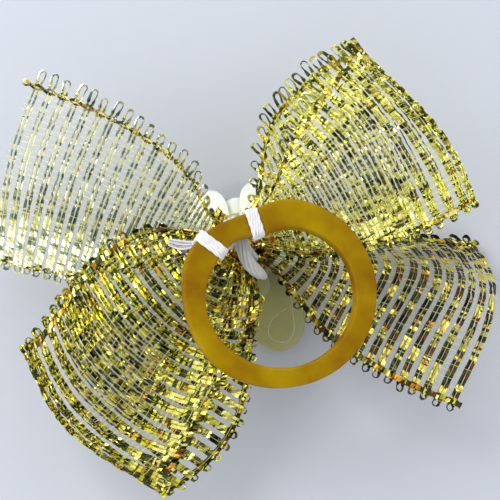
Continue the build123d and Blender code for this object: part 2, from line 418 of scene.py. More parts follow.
def facet_group() -> bpy.types.NodeTree:
    """The colour of metallic film on a flat yarn, which changes from facet to facet.

    Its dark facets are painted dark reflections of the room above, and facets with a painted
    glint go towards a painted highlight colour.

    Returns:
        A group that puts out Colour and Roughness.
    """
    tree, make = new_group(
        "film_facets",
        [("Light", "NodeSocketColor", (0.8, 0.75, 0.12, 1)),
         ("Warm", "NodeSocketColor", (0.8, 0.5, 0.08, 1)),
         ("Dark", "NodeSocketColor", (0.02, 0.05, 0.02, 1)),
         ("Warm dark reflection", "NodeSocketColor", (0.22, 0.07, 0.01, 1)),
         ("Bright", "NodeSocketColor", (0.95, 0.92, 0.3, 1)),
         ("Dark share", "NodeSocketFloat", 0.3),
         ("Warm share", "NodeSocketFloat", 0.2)],
        [("Colour", "NodeSocketColor"), ("Roughness", "NodeSocketFloat")],
    )
    given = tree.nodes.new("NodeGroupInput")
    result = tree.nodes.new("NodeGroupOutput")
    run = make.add("Attribute", attribute_name="run").outputs["Fac"]
    row = make.add("Attribute", attribute_name="row").outputs["Fac"]
    # This attribute marks the facets that get a painted glint.
    dip = make.add("Attribute", attribute_name="dip").outputs["Fac"]
    facet, yarn = make.math("FLOOR", run), make.math("FLOOR", row)
    cell = make.add("CombineXYZ", {0: facet, 1: yarn}).outputs[0]
    chance = make.add("TexWhiteNoise", {0: cell}, noise_dimensions="2D")
    other = make.add("SeparateColor", {0: chance.outputs["Color"]})
    place = make.add("TexCoord").outputs["Object"]
    drift = make.add("TexNoise", {"Vector": place, "Scale": DRIFT_SCALE, "Detail": 2.0}).outputs[0]
    # Facets with a painted glint get fewer painted dark reflections.
    dipped = make.math("GREATER_THAN", dip, 0.5)
    share = make.math("MULTIPLY", given.outputs["Dark share"],
                      make.math("SUBTRACT", 1.25, dipped))
    swing = make.math("MULTIPLY", make.math("SUBTRACT", drift, 0.5), DRIFT_SWING)
    clouded = make.math("ADD", share, swing)
    # These facets show a painted dark reflection of the room above.
    dark = make.math("LESS_THAN", other.outputs[0], clouded)
    warm = make.math("LESS_THAN", other.outputs[1], given.outputs["Warm share"])
    mixed = make.mix(make.math("MULTIPLY", warm, WARMTH), given.outputs["Light"],
                     given.outputs["Warm"])
    shade = make.ramp(other.outputs[2], [(0.0, 0.5), (0.6, 0.9), (1.0, 1.0)])
    varied = make.add("Mix", {0: 1.0, 6: mixed, 7: shade}, data_type="RGBA", blend_type="MULTIPLY")
    # Painted glint: the marked facets go towards the bright colour.
    pale = make.mix(make.math("MULTIPLY", dipped, PAINTED_GLINT_MIX), varied.outputs[2],
                    given.outputs["Bright"])
    # The painted dark reflection colour, warmer on warm facets.
    dark_reflection = make.mix(make.math("MULTIPLY", warm, WARM_REFLECTION_MIX), given.outputs["Dark"],
                    given.outputs["Warm dark reflection"])
    darkened = make.mix(make.math("MULTIPLY", dark, DARK_REFLECTION_MIX), pale, dark_reflection)
    rough = make.ramp(drift, [(0.3, 0.14), (0.7, 0.3)])
    tree.links.new(darkened, result.inputs["Colour"])
    tree.links.new(rough, result.inputs["Roughness"])
    return tree


def mottle_group() -> bpy.types.NodeTree:
    """Soft cloudy variation of a colour, with a fine height for a bump.

    Returns:
        A group that puts out Colour, Mask and Height.
    """
    tree, make = new_group(
        "soft_mottle",
        [("First", "NodeSocketColor", (1, 1, 1, 1)),
         ("Second", "NodeSocketColor", (0.5, 0.5, 0.5, 1)),
         ("Cloud", "NodeSocketFloat", 300.0), ("Grain", "NodeSocketFloat", 4000.0)],
        [("Colour", "NodeSocketColor"), ("Mask", "NodeSocketFloat"), ("Height", "NodeSocketFloat")],
    )
    given = tree.nodes.new("NodeGroupInput")
    result = tree.nodes.new("NodeGroupOutput")
    place = make.add("TexCoord").outputs["Object"]
    cloud = make.add("TexNoise", {"Vector": place, "Scale": given.outputs["Cloud"], "Detail": 4.0})
    grain = make.add("TexNoise", {"Vector": place, "Scale": given.outputs["Grain"], "Detail": 3.0})
    mask = make.ramp(cloud.outputs[0], [(0.32, 0.0), (0.68, 1.0)])
    tree.links.new(make.mix(mask, given.outputs["First"], given.outputs["Second"]),
                   result.inputs["Colour"])
    tree.links.new(mask, result.inputs["Mask"])
    tree.links.new(grain.outputs[0], result.inputs["Height"])
    return tree


class Groups:
    """The shared node groups, each built once."""

    def __init__(self) -> None:
        """Builds both groups."""
        self.facets = facet_group()
        self.mottle = mottle_group()


@dataclass(frozen=True)
class FilmFinish:
    """Gold film on yarns: light and warm facets, with painted dark reflections in the dark colour
    (the warm dark reflection colour on warm facets) and painted glints in the bright colour.
    """

    name: str
    light: Colour
    warm: Colour
    dark: Colour
    dark_share: float
    warm_share: float
    bright: Colour = (0.98, 0.95, 0.32)
    warm_dark_reflection: Colour = (0.20, 0.06, 0.01)

    def made(self, groups: Groups) -> bpy.types.Material:
        """Builds the material.

        Args:
            groups: the shared node groups.

        Returns:
            The material.
        """
        material, make, surface = new_surface(self.name)
        facets = make.add("Group", node_tree=groups.facets)
        for label, value in (("Light", opaque(self.light)), ("Warm", opaque(self.warm)),
                             ("Dark", opaque(self.dark)), ("Warm dark reflection", opaque(self.warm_dark_reflection)),
                             ("Bright", opaque(self.bright)), ("Dark share", self.dark_share),
                             ("Warm share", self.warm_share)):
            facets.inputs[label].default_value = value
        make.tree.links.new(facets.outputs["Colour"], surface.inputs["Base Color"])
        make.tree.links.new(facets.outputs["Roughness"], surface.inputs["Roughness"])
        surface.inputs["Metallic"].default_value = 1.0
        return material


@dataclass(frozen=True)
class SoftFinish:
    """Thread, latex, plastic or glue: a mottled colour that lets light in."""

    name: str
    first: Colour
    second: Colour
    roughness: float
    cloud: float
    grain: float
    bump: float
    depth: float = 0.0
    glow: float = 0.0
    alpha: float = 1.0
    sheen: float = 0.0
    coat: float = 0.0
    shine: float = 0.5

    def made(self, groups: Groups) -> bpy.types.Material:
        """Builds the material.

        Args:
            groups: the shared node groups.

        Returns:
            The material.
        """
        material, make, surface = new_surface(self.name)
        mottle = make.add("Group", node_tree=groups.mottle)
        mottle.inputs["First"].default_value = opaque(self.first)
        mottle.inputs["Second"].default_value = opaque(self.second)
        mottle.inputs["Cloud"].default_value = self.cloud
        mottle.inputs["Grain"].default_value = self.grain
        bump = make.add("Bump", {"Height": mottle.outputs["Height"], "Strength": self.bump,
                                 "Distance": 0.05 * MM})
        rough = make.math("ADD", make.math("MULTIPLY", mottle.outputs["Mask"], 0.1),
                          self.roughness - 0.05)
        make.tree.links.new(mottle.outputs["Colour"], surface.inputs["Base Color"])
        make.tree.links.new(bump.outputs[0], surface.inputs["Normal"])
        make.tree.links.new(rough, surface.inputs["Roughness"])
        surface.inputs["Subsurface Weight"].default_value = self.glow
        surface.inputs["Subsurface Radius"].default_value = (1.0, 0.75, 0.4)
        surface.inputs["Subsurface Scale"].default_value = self.depth * MM
        surface.inputs["Sheen Weight"].default_value = self.sheen
        surface.inputs["Coat Weight"].default_value = self.coat
        surface.inputs["Specular IOR Level"].default_value = self.shine
        surface.inputs["Alpha"].default_value = self.alpha
        return material


def new_surface(name: str) -> tuple[bpy.types.Material, Shader, bpy.types.Node]:
    """Starts a material.

    Args:
        name: the material's name.

    Returns:
        The material, the maker of its nodes, and its Principled node.
    """
    material = bpy.data.materials.new(name)
    material.use_nodes = True
    surface = material.node_tree.nodes["Principled BSDF"]
    return material, Shader(material.node_tree), surface


LIME = (0.80, 0.75, 0.06)
AMBER_GOLD = (0.86, 0.50, 0.06)
# The dark colour of the films' painted dark reflections of the room above.
GREEN_BLACK = (0.012, 0.035, 0.015)


class Finishes:
    """Every material, built from its finish."""

    def __init__(self) -> None:
        """Builds the groups and then the materials."""
        groups = Groups()
        self.latex = SoftFinish("amber_latex", (0.31, 0.205, 0.0007), (0.19, 0.085, 0.0003), 0.5,
                                260.0, 5200.0, 0.2, depth=1.2, glow=0.3, shine=0.06).made(groups)
        self.thread = SoftFinish("white_satin_thread", (0.80, 0.80, 0.82), (0.62, 0.62, 0.62), 0.45,
                                 900.0, 9000.0, 0.3, depth=0.3, glow=0.3, sheen=0.4).made(groups)
        self.soft_thread = SoftFinish("soft_grey_thread", (0.60, 0.60, 0.62), (0.46, 0.46, 0.46),
                                      0.6, 700.0, 9000.0, 0.4, depth=0.5, glow=0.4).made(groups)
        self.plastic = SoftFinish("frosted_petal", (0.94, 0.96, 0.84), (0.88, 0.90, 0.72), 0.32,
                                  200.0, 5000.0, 0.1, depth=2.0, glow=0.6, coat=0.2).made(groups)
        self.glue = SoftFinish("glue_melt", (0.40, 0.41, 0.20), (0.31, 0.32, 0.15), 0.25,
                               260.0, 3000.0, 0.1, depth=1.5, glow=0.6, coat=0.3).made(groups)
        # The tongue's skin: olive see-through glue, and at its far end painted shade on the floor.
        self.glue_and_painted_shade_skin = SoftFinish("glue_and_painted_shade_skin", (0.44, 0.42, 0.12), (0.36, 0.35, 0.10), 0.4,
                                    260.0, 3000.0, 0.1, alpha=0.48, shine=0.1).made(groups)
        self.glue_string = SoftFinish("glue_hair", (0.62, 0.62, 0.50), (0.50, 0.50, 0.40), 0.3,
                                      400.0, 3000.0, 0.1, alpha=0.7).made(groups)
        self.filament = SoftFinish("clear_filament", (0.90, 0.84, 0.30), (0.74, 0.68, 0.22), 0.2,
                                   500.0, 3000.0, 0.1, alpha=0.5).made(groups)
        self.film = FilmFinish("gold_film", LIME, AMBER_GOLD, GREEN_BLACK, 0.42, 0.18).made(groups)
        # A copy of the gold film painted lighter, for the lobe that catches the most light.
        self.painted_lit_film = FilmFinish("gold_film_painted_lit", (0.94, 0.93, 0.26), (0.80, 0.62, 0.14),
                                      (0.03, 0.05, 0.015), 0.4, 0.2,
                                      bright=(1.0, 1.0, 0.36)).made(groups)
        # A copy painted darker, for the flat tail whose facets face the dark room above.
        self.painted_shaded_film = FilmFinish("gold_film_painted_shaded", (0.66, 0.61, 0.06), (0.72, 0.34, 0.02),
                                    (0.004, 0.014, 0.007), 0.7, 0.26,
                                    bright=(0.94, 0.84, 0.18)).made(groups)
        # A copy painted paler and lighter, for the upper left tail.
        self.painted_pale_film = FilmFinish("gold_film_painted_pale", (0.80, 0.80, 0.42), (0.66, 0.62, 0.36),
                                    (0.14, 0.20, 0.14), 0.29, 0.2, bright=(1.0, 0.99, 0.56),
                                    warm_dark_reflection=(0.16, 0.14, 0.09)).made(groups)
        self.tape_film = FilmFinish("gold_tape_film", (0.62, 0.54, 0.06), AMBER_GOLD, GREEN_BLACK,
                                    0.3, 0.3).made(groups)
        # A copy of the tape film painted darker.
        self.painted_shaded_tape_film = FilmFinish("painted_shaded_tape_film", (0.62, 0.56, 0.08), (0.66, 0.26, 0.02),
                                         (0.006, 0.03, 0.018), 0.5, 0.3).made(groups)
        # Crushed gold for the pinched ribbon, whose dark colour is painted dark reflection too.
        self.crushed = FilmFinish("crushed_gold", (0.86, 0.72, 0.12), (0.88, 0.42, 0.04),
                                  (0.05, 0.03, 0.01), 0.25, 0.6).made(groups)


# ------------------------------------------------------------------------ ribbon lobes
@dataclass(frozen=True)
class Weave:
    """Sizes of the yarns in the ribbon."""

    pair_pitch: float = 1.04
    pair_half: float = 0.18       # from a pair's middle to the middle of either strip
    picot_half: float = 0.27      # the same at a hairpin's turn
    strip_width: float = 0.32
    strip_thick: float = 0.08
    width: float = 15.2           # of the ribbon before it was gathered
    warps: int = 29
    warp_radius: float = 0.03
    wave: float = 0.05            # how far yarns rise over each other
    irregular: float = 0.14       # chance that a crossing goes against the weave
    warp_drift: float = 0.0012    # how far warps stray, as a share of the width
    picot_lean: float = 0.25
    picot_sway: float = 0.12
    picot_uneven: tuple[float, float] = (0.85, 1.12)
    tape_width: float = 0.36
    tape_swing: float = 0.15      # how far the two tapes part between crossings
    tape_thick: float = 0.05
    tape_inset: float = 0.22      # from the selvage to the middle of the two tapes
    tape_wave: float = 0.05
    tape_tip: float = 0.12        # how much a tape's facet tips at random, in radians
    tape_glints: float = 0.2      # share of its facets that get a painted glint
    tape_step: float = 0.2
    picot_roll: float = 1.36      # how far the yarn stands on edge in its hairpin
    turn_steps: int = 5


class RibbonForm:
    """The smooth sheet that one lobe's yarns follow, read from a net of chosen points."""

    STEP = 0.2
    COLUMNS = 97
    PLEAT_WANDER = 0.03           # of the pleats, as a share of the width
    EDGE_POWER = 0.4              # how sharply the pleats die out at the selvages

    def __init__(self, heading: float, rows: Sequence[Sequence[Point]], pleat_ends: int,
                 pleats: float, pleat_height: float, pleat_reach: float) -> None:
        """Reads the net and pleats the sheet near its gathered ends.

        Args:
            heading: the lobe's direction from the pinch, in degrees.
            rows: from the pinch outwards, each row's (along, across, height) points from
                the right selvage to the left one.
            pleat_ends: 1 for a tail, and 2 for a loop that comes back to the pinch.
            pleats: number of pleats across the ribbon.
            pleat_height: how high the pleats are at the pinch.
            pleat_reach: how far out they have faded to a third.
        """
        ahead, left = level_heading(heading), level_heading(heading + 90)
        local = np.array(rows, float)
        net = PINCH + local[..., :1] * ahead + local[..., 1:2] * left + local[..., 2:] * UP
        row_at, column_at = paid_out(net), paid_out(net.swapaxes(0, 1))
        self.length, self.width = float(row_at[-1]), float(column_at[-1])
        along = np.arange(0, self.length, self.STEP)
        across = np.linspace(0, self.width, self.COLUMNS)
        grid = natural_spline(row_at, net, along)
        grid = natural_spline(column_at, grid.swapaxes(0, 1), across).swapaxes(0, 1)
        normal = self._read_frames(grid)[2]
        fade = np.exp(-along / pleat_reach)
        if pleat_ends == 2:
            fade = fade + np.exp(-(self.length - along) / pleat_reach)
        share = across / self.width
        wander = self.PLEAT_WANDER * np.sin(along * 0.5)
        phase = 2 * math.pi * pleats * (share[None] + wander[:, None])
        edge = np.sin(math.pi * share) ** self.EDGE_POWER
        height = pleat_height * fade[:, None] * np.sin(phase) * edge[None]
        self.grid = grid + normal * height[..., None]
        self.ahead, self.across, self.normal = self._read_frames(self.grid)

    @staticmethod
    def _read_frames(grid: np.ndarray) -> tuple[np.ndarray, np.ndarray, np.ndarray]:
        """Reads a sheet's directions.

        Args:
            grid: the sheet's points, along by across.

        Returns:
            Directions along, across and square to the sheet at each of its points.
        """
        along = unit(np.gradient(grid, axis=0))
        across = unit(np.gradient(grid, axis=1))
        normal = unit(np.cross(along, across))
        return unit(np.cross(across, normal)), across, normal

    def read(self, along: np.ndarray | float, share: np.ndarray | float) -> list[np.ndarray]:
        """Reads place, ahead, across and normal at points of the sheet.

        Args:
            along: length of ribbon from its start; past either end it goes straight on.
            share: 0 at the right selvage and 1 at the left one.

        Returns:
            Four arrays of vectors.
        """
        along, share = np.broadcast_arrays(np.asarray(along, float), np.asarray(share, float))
        last_row, last_column = self.grid.shape[0] - 1, self.grid.shape[1] - 1
        i = np.clip(along / self.STEP, 0, last_row - 1e-6)
        j = np.clip(share * last_column, 0, last_column - 1e-6)
        row, column = i.astype(int), j.astype(int)
        down, over = (i - row)[..., None], (j - column)[..., None]
        read = []
        for table in (self.grid, self.ahead, self.across, self.normal):
            near = table[row, column] * (1 - over) + table[row, column + 1] * over
            far = table[row + 1, column] * (1 - over) + table[row + 1, column + 1] * over
            read.append(near * (1 - down) + far * down)
        past = (along / self.STEP - i) * self.STEP
        return [read[0] + read[1] * past[..., None], *(unit(vector) for vector in read[1:])]


@dataclass
class Lobe:
    """A loop or tail of woven ribbon, with its wefts, warps and selvage tapes.

    Leans and the shares of facets that get a painted glint are read across the ribbon, from
    the right selvage to the left one, and picots from the pinch outwards. Yarns that cast no
    shadow stand for bright film that passes light on between them. Film and tape_film name
    the lobe's copies of the gold film, some of them painted lighter or darker for its light.
    """

    body: Body
    heading: float
    rows: Sequence[Sequence[Point]]
    nodes: Sequence[str]
    held: str
    pleats: float = 4.0
    pleat_height: float = 1.1
    pleat_reach: float = 3.2
    is_loop: bool = True
    seed: int = 1
    roll: float = 0.16
    leans: tuple[float, float, float] = (0.2, 0.8, 0.2)
    glints: tuple[float, float, float] = (0.38, 0.38, 0.38)
    right_picots: tuple[float, float] = (0.5, 0.6)
    left_picots: tuple[float, float] = (0.6, 0.9)
    end_gap: float = 0.3
    tape_roll: float = 0.2
    tape_sway: float = 0.35
    tape_lift: float = 0.04
    film: str = "film"
    tape_film: str = "tape_film"
    ragged: float = 0.0
    casts_shadow: bool = True
    bend_from: float = 1.4        # where the ribbon starts to follow its own body
    bend_to: float = 4.6
    root_gap: float = 0.2         # bare ribbon at the pinch, without wefts
    weave: Weave = field(default_factory=Weave)

    def build(self, finishes: Finishes) -> None:
        """Weaves the ribbon.

        Args:
            finishes: the materials.
        """
        self.form = RibbonForm(self.heading, self.rows, 2 if self.is_loop else 1, self.pleats,
                               self.pleat_height, self.pleat_reach)
        self.pair_at = self.pair_places()
        self.warp_share = (np.arange(self.weave.warps) + 0.5) / self.weave.warps
        random = np.random.default_rng(self.seed)
        under = (np.arange(len(self.pair_at))[:, None] + np.arange(len(self.warp_share))) % 3 == 0
        self.under = under ^ (random.random(under.shape) < self.weave.irregular)
        # Facets that get a painted glint; glints gives their share across the ribbon.
        glinting = np.interp(self.warp_share, (0.12, 0.5, 0.86), self.glints)
        self.glint = random.random(under.shape) < glinting
        wefts = self.weave_wefts()
        warps = self.weave_warps()
        tapes = self.weave_tapes()
        for piece, slot, material in ((wefts, Slot.MESH, getattr(finishes, self.film)),
                                      (warps, Slot.MESH, finishes.filament),
                                      (tapes, Slot.TAPE, getattr(finishes, self.tape_film))):
            piece.data.materials.append(material)
            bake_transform(piece)
            piece.visible_shadow = self.casts_shadow
            LOG.info("%s: %d faces", piece.name, len(piece.data.polygons))
        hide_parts(*(node for node in self.nodes if node.endswith("ribbon")))
        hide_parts(*(node for node in self.nodes if node.endswith("selvages")))

    def pair_places(self) -> np.ndarray:
        """Places the pairs of wefts, from a tail's cut end or to both sides of a loop's fold.

        Returns:
            Length of ribbon from its start to each pair.
        """
        pitch, length = self.weave.pair_pitch, self.form.length
        if not self.is_loop:
            return np.arange(length - self.end_gap, self.root_gap, -pitch)[::-1]
        outwards = self.form.grid[:, self.form.COLUMNS // 2] @ level_heading(self.heading)
        fold = float(np.argmax(outwards)) * self.form.STEP
        nearer = np.arange(fold - pitch / 2, self.root_gap, -pitch)[::-1]
        farther = np.arange(fold + pitch / 2, length - self.root_gap, pitch)
        return np.concatenate([nearer, farther])

    def weave_wefts(self) -> bpy.types.Object:
        """Lays every pair of flat wefts, joined by a hairpin at each selvage.

        Returns:
            The wefts.
        """
        mesh = PieceMesh(self.seed)
        for index, at in enumerate(self.pair_at):
            skew = mesh.random.normal(0, self.ragged)
            self._weft_pair(mesh, index, at + skew)
        return mesh.made(self.body.value + "_wefts", smooth=False)

    def _weft_pair(self, mesh: PieceMesh, index: int, at: float) -> None:
        """Lays one pair as a closed loop of flat yarn.

        Args:
            mesh: the piece that the pair goes into.
            index: which pair it is.
            at: length of ribbon from its start to the pair.
        """
        sizes, random = self.weave, mesh.random
        quarter = 0.25 / len(self.warp_share)
        share = (self.warp_share[:, None] + (-quarter, quarter)).ravel()
        place, ahead, _, normal = self.form.read(at, share)
        lift = np.where(self.under[index], -sizes.wave, sizes.wave)
        place = place + normal * np.repeat(lift, 2)[:, None]
        tips = []
        for end, sign in ((-1, 1), (0, -1)):
            edge, forward, outward, up = self.form.read(at, 1.0 if end == -1 else 0.0)
            lean = random.normal(0, sizes.picot_lean)
            sway = random.normal(0, sizes.picot_sway)
            out = unit(sign * outward + up * lean + forward * sway)
            tips.append((edge, forward, out, unit(np.cross(forward, out)) * sign))
        grown = at / self.form.length
        if self.is_loop:
            grown = math.sin(math.pi * grown)
        longest = np.array([np.interp(grown, (0, 0.8), sizes_at)
                            for sizes_at in (self.left_picots, self.right_picots)])
        reach = longest * random.uniform(*sizes.picot_uneven, 2) - sizes.picot_half
        far, near = (self._hairpin(tip, length, len(share), sign)
                     for tip, length, sign in zip(tips, reach, (1, -1)))
        half, count = sizes.pair_half, len(share)
        run = np.arange(count, dtype=float)
        lean = np.interp(share, (0.05, 0.5, 0.92), self.leans)
        out_going = (place - ahead * half, -ahead, normal, run, lean)
        coming_back = (place[::-1] + ahead[::-1] * half, ahead[::-1], normal[::-1], run[::-1],
                       -lean[::-1])
        parts = [out_going, far, coming_back, near]
        # The facets of this pair that get a painted glint.
        dips = np.repeat(self.glint[index], 2).astype(float)
        dip = np.concatenate([dips, np.zeros(len(far[0])), dips[::-1], np.zeros(len(near[0]))])
        centre, side, up, run, roll = (np.concatenate([part[i] for part in parts])
                                       for i in range(5))
        roll = (roll + random.normal(0, self.roll, len(centre)))[:, None]
        rolled = side * np.cos(roll) + up * np.sin(roll)
        lifted = up * np.cos(roll) - side * np.sin(roll)
        mesh.strip(centre, rolled, lifted, sizes.strip_width, sizes.strip_thick,
                   run=run + 0.01, row=index + 0.5, dip=dip, closed=True)

    def _hairpin(self, tip: tuple[np.ndarray, ...], reach: float, count: int,
                 sign: int) -> tuple[np.ndarray, ...]:
        """The turn at one end of a pair.

        Args:
            tip: the selvage point with its ahead, outward and up directions.
            reach: straight length from the selvage to the turn.
            count: number of sections in the pair's straight part.
            sign: 1 at the left selvage, and -1 at the right one.

        Returns:
            Centres, side directions, normals, runs and rolls, from one strip to the other.
        """
        edge, forward, out, up = tip
        half, neck = self.weave.picot_half, (self.weave.pair_half + self.weave.picot_half) / 2
        straight = np.array([0.3, 0.75]) * reach
        turn = np.linspace(0, math.pi, self.weave.turn_steps + 2)
        offset = np.concatenate([[-neck, -half], -half * np.cos(turn), [half, neck]]) * sign
        distance = np.concatenate([straight, reach + half * np.sin(turn), straight[::-1]])
        sideways = np.concatenate([[-1, -1], -np.cos(turn), [1, 1]]) * sign
        outwards = np.concatenate([[0, 0], np.sin(turn), [0, 0]])
        centre = edge + forward * offset[:, None] + out * distance[:, None]
        side = unit(forward * sideways[:, None] + out * outwards[:, None])
        run = (count + 2.0 if sign == 1 else -3.0) + outwards * 2.0 * sign
        roll = np.full(len(centre), self.weave.picot_roll)
        roll[[0, -1]] *= 0.6
        return centre, side, np.broadcast_to(up, centre.shape), run, roll

    def weave_warps(self) -> bpy.types.Object:
        """Threads the fine clear warps over and under the wefts.

        Returns:
            The warps.
        """
        mesh = PieceMesh(self.seed + 50)
        sizes = self.weave
        middle = self.pair_at
        between = middle[:-1] + np.diff(middle) / 2
        for index, share in enumerate(self.warp_share):
            over = np.where(self.under[:, index], 1.0, -1.0) * (sizes.wave + sizes.warp_radius)
            at = np.concatenate([middle, between, [middle[-1] + 0.5]])
            lift = np.concatenate([over, np.zeros(len(between)), [0.0]])
            order = np.argsort(at)
            drift = share + mesh.random.normal(0, sizes.warp_drift)
            place, _, _, normal = self.form.read(at[order], drift)
            mesh.tube(place + normal * lift[order][:, None], sizes.warp_radius, 4, row=index + 0.5)
        return mesh.made(self.body.value + "_warps", smooth=True)

    def weave_tapes(self) -> bpy.types.Object:
        """Lays two flat tapes along each selvage, which cross between the wefts.

        Returns:
            The tapes.
        """
        mesh = PieceMesh(self.seed + 90)
        sizes = self.weave
        at = np.arange(0.0, self.form.length + 0.5, sizes.tape_step)
        for edge, sign in ((0.0, 1.0), (1.0, -1.0)):
            for tape in (0, 1):
                place, _, across, normal = self.form.read(at, edge)
                swing = math.pi * (at - self.pair_at[0]) / sizes.pair_pitch + math.pi * tape
                aside = np.cos(swing) * sizes.tape_swing + sizes.tape_inset
                lift = np.sin(swing) * sizes.tape_wave + self.tape_lift
                roll = self.tape_roll + self.tape_sway * np.sin(swing * 0.5 + tape) \
                    + mesh.random.normal(0, sizes.tape_tip, len(at))
                inward = across * sign
                centre = place + inward * aside[:, None] + normal * lift[:, None]
                turn = roll[:, None]
                # Some tape facets get a painted glint.
                glint = (mesh.random.random(len(at)) < sizes.tape_glints).astype(float)
                mesh.strip(centre, inward * np.cos(turn) + normal * np.sin(turn),
                           normal * np.cos(turn) - inward * np.sin(turn), sizes.tape_width,
                           sizes.tape_thick, run=np.arange(len(at)) * 0.5 + 0.01,
                           row=tape + 2 * edge + 20.5, dip=glint)
        return mesh.made(self.body.value + "_selvage_tapes", smooth=False)


UPPER_RIGHT = Lobe(
    Body.UPPER_RIGHT, 32.0,
    [
        [(1.4, -0.9, 7.6), (1.5, -0.3, 8.0), (1.5, 0.3, 8.0), (1.4, 0.8, 7.7)],
        [(2.9, -3.0, 7.5), (3.4, -1.0, 8.2), (3.4, 0.6, 8.2), (3.1, 1.4, 7.8)],
        [(6.4, -5.2, 7.2), (6.6, -1.8, 8.4), (6.7, 1.6, 8.4), (6.6, 3.8, 8.0)],
        [(10.8, -6.6, 6.9), (11.2, -2.4, 8.9), (11.3, 2.6, 9.1), (10.3, 5.8, 8.6)],
        [(15.2, -7.4, 6.4), (15.8, -2.6, 8.7), (15.8, 3.0, 9.0), (14.6, 7.4, 8.8)],
        [(18.4, -7.6, 5.5), (19.0, -2.8, 6.6), (18.2, 2.6, 7.0), (16.9, 7.7, 7.4)],
        [(15.2, -7.6, 4.6), (15.8, -2.4, 4.2), (15.6, 3.0, 4.4), (14.6, 8.6, 5.2)],
        [(10.8, -6.6, 4.6), (11.2, -2.2, 3.8), (11.3, 3.2, 4.0), (10.6, 8.1, 4.9)],
        [(6.4, -4.6, 5.4), (6.6, -1.8, 4.6), (6.6, 2.2, 4.6), (6.7, 6.5, 5.3)],
        [(2.9, -2.4, 6.3), (3.4, -0.8, 5.8), (3.4, 0.8, 5.8), (3.2, 2.7, 6.2)],
        [(1.4, -0.8, 6.8), (1.5, -0.2, 6.6), (1.5, 0.4, 6.6), (1.4, 1.0, 6.8)],
    ],
    ["loop_upper_right_ribbon", "loop_upper_right_selvages"], "gathered", seed=11,
    # Film painted lighter, with painted glints along both selvages and few in the middle.
    leans=(0.4, 1.3, 0.5), right_picots=(0.5, 0.55), left_picots=(0.8, 1.45), film="painted_lit_film",
    glints=(0.8, 0.1, 0.8), casts_shadow=False,
)
LOWER_LEFT = Lobe(
    Body.LOWER_LEFT, 231.0,
    [
        [(1.3, -1.2, 7.5), (1.5, -0.4, 8.0), (1.5, 0.4, 8.0), (1.2, 1.4, 7.6)],
        [(3.0, -5.1, 6.8), (4.0, -2.2, 8.7), (4.2, 1.6, 9.0), (2.6, 3.9, 8.2)],
        [(7.0, -7.8, 6.9), (8.2, -3.6, 9.4), (8.6, 1.8, 9.8), (6.6, 5.7, 8.8)],
        [(11.6, -8.1, 7.2), (13.2, -3.6, 9.5), (13.4, 2.0, 9.8), (11.8, 6.5, 8.9)],
        [(15.2, -7.8, 7.2), (17.2, -3.6, 8.8), (17.8, 2.4, 8.9), (16.4, 7.3, 8.4)],
        [(18.6, -7.9, 6.4), (20.6, -3.6, 7.0), (21.2, 0.8, 7.2), (20.4, 8.0, 6.8)],
        [(15.2, -8.1, 5.0), (17.2, -3.6, 4.7), (17.8, 2.4, 4.7), (17.4, 9.5, 5.0)],
        [(11.6, -8.3, 4.7), (13.2, -3.6, 4.1), (13.4, 2.0, 4.1), (12.6, 9.6, 4.6)],
        [(7.0, -7.4, 5.3), (8.2, -3.2, 4.6), (8.6, 1.8, 4.6), (7.8, 7.3, 5.2)],
        [(3.0, -4.4, 6.1), (4.0, -1.6, 5.8), (4.2, 1.4, 5.8), (3.2, 3.9, 6.2)],
        [(1.3, -1.0, 6.8), (1.5, -0.3, 6.6), (1.5, 0.4, 6.6), (1.2, 1.2, 6.8)],
    ],
    ["loop_lower_left_ribbon", "loop_lower_left_selvages"], "gathered", seed=23, pleats=5.0,
    leans=(0.65, 0.9, 0.1), right_picots=(0.7, 0.85), left_picots=(0.45, 0.45),
    # Tapes painted darker, and painted glints mostly near the selvages.
    tape_roll=0.0, tape_film="painted_shaded_tape_film", tape_sway=0.05, tape_lift=0.13,
    weave=Weave(tape_width=0.46, tape_swing=0.08), glints=(0.5, 0.2, 0.5),
)
UPPER_LEFT = Lobe(
    Body.UPPER_LEFT, 162.0,
    [
        [(1.4, -0.5, 6.0), (1.4, 0.1, 6.2), (1.4, 0.7, 5.9)],
        [(3.1, -1.3, 6.2), (3.4, 0.4, 6.3), (3.4, 2.0, 5.6)],
        [(5.1, -3.5, 6.3), (6.0, 0.2, 6.3), (6.6, 4.3, 4.8)],
        [(9.0, -5.5, 6.4), (9.7, -0.1, 6.2), (10.3, 6.3, 4.0)],
        [(12.6, -6.4, 6.4), (13.2, -0.4, 5.9), (13.2, 7.5, 3.5)],
        [(16.3, -6.9, 6.2), (16.8, -0.7, 5.5), (16.3, 7.8, 3.1)],
        [(21.0, -7.2, 5.6), (21.2, -0.6, 4.9), (19.6, 8.2, 2.8)],
    ],
    ["tail_upper_left_ribbon", "tail_upper_left_selvages"], "gathered", is_loop=False, seed=37,
    # Film painted paler and lighter.
    pleats=4.5, pleat_height=1.1, pleat_reach=2.6, film="painted_pale_film", tape_roll=0.9,
    roll=0.1, leans=(1.05, 1.0, 0.2), right_picots=(0.75, 1.4), left_picots=(0.5, 0.6), end_gap=0.8,
    glints=(0.25, 0.3, 0.6), casts_shadow=False,
    weave=Weave(tape_width=0.28, tape_swing=0.18, strip_thick=0.085),
)
